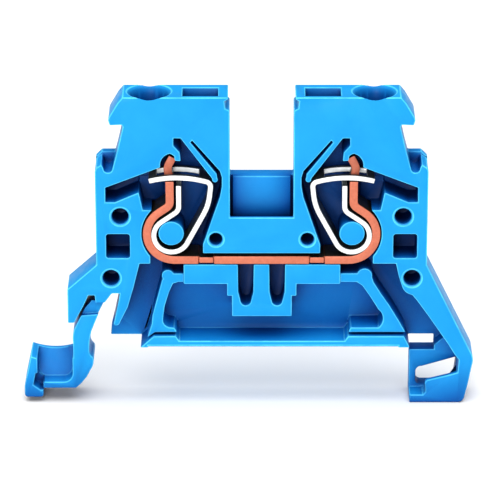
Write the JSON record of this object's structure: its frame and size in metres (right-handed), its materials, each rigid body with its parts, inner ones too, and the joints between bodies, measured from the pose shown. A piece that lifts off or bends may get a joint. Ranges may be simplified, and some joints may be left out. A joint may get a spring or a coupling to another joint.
{
  "type": "din rail terminal block",
  "caption": "Narrow open-sided terminal block that clips on a mounting rail, with a copper busbar between caged spring clamps and a flexible latch foot.",
  "frame": {"origin": "centre of the housing underside, in the plane of the rail's top face, at mid width", "axes": "+X towards the fixed foot, +Y towards the closed back wall, +Z away from the rail"},
  "size_m": [0.0459, 0.004, 0.0332],
  "materials": {
    "housing_plastic": "satin moulded polyamide",
    "busbar_copper": "sheared copper edges, darker tinned faces",
    "spring_steel": "bright sheared edges, darker rolled faces"
  },
  "bodies": {
    "housing": {"housing": "housing_plastic", "busbar": "busbar_copper", "left_spring_loop": "spring_steel", "right_spring_loop": "spring_steel"},
    "rail_latch": {"rail_latch": "housing_plastic"},
    "left_clamp": {"left_spring_cage": "spring_steel"},
    "right_clamp": {"right_spring_cage": "spring_steel"}
  },
  "joints": [
    {"name": "latch_flex", "type": "hinge", "parent": "housing", "child": "rail_latch", "pos_m": [-0.017, 0, 0.005], "axis": [0, 1, 0], "range_deg": [0, 4.5], "stiffness_Nm_per_rad": 0.05},
    {"name": "left_clamp_open", "type": "hinge", "parent": "housing", "child": "left_clamp", "pos_m": [-0.0091, 0, 0.01227], "axis": [0, -1, 0], "range_deg": [0, 14], "stiffness_Nm_per_rad": 0.02},
    {"name": "right_clamp_open", "type": "hinge", "parent": "housing", "child": "right_clamp", "pos_m": [0.0091, 0, 0.01227], "axis": [0, 1, 0], "range_deg": [0, 14], "stiffness_Nm_per_rad": 0.02}
  ]
}
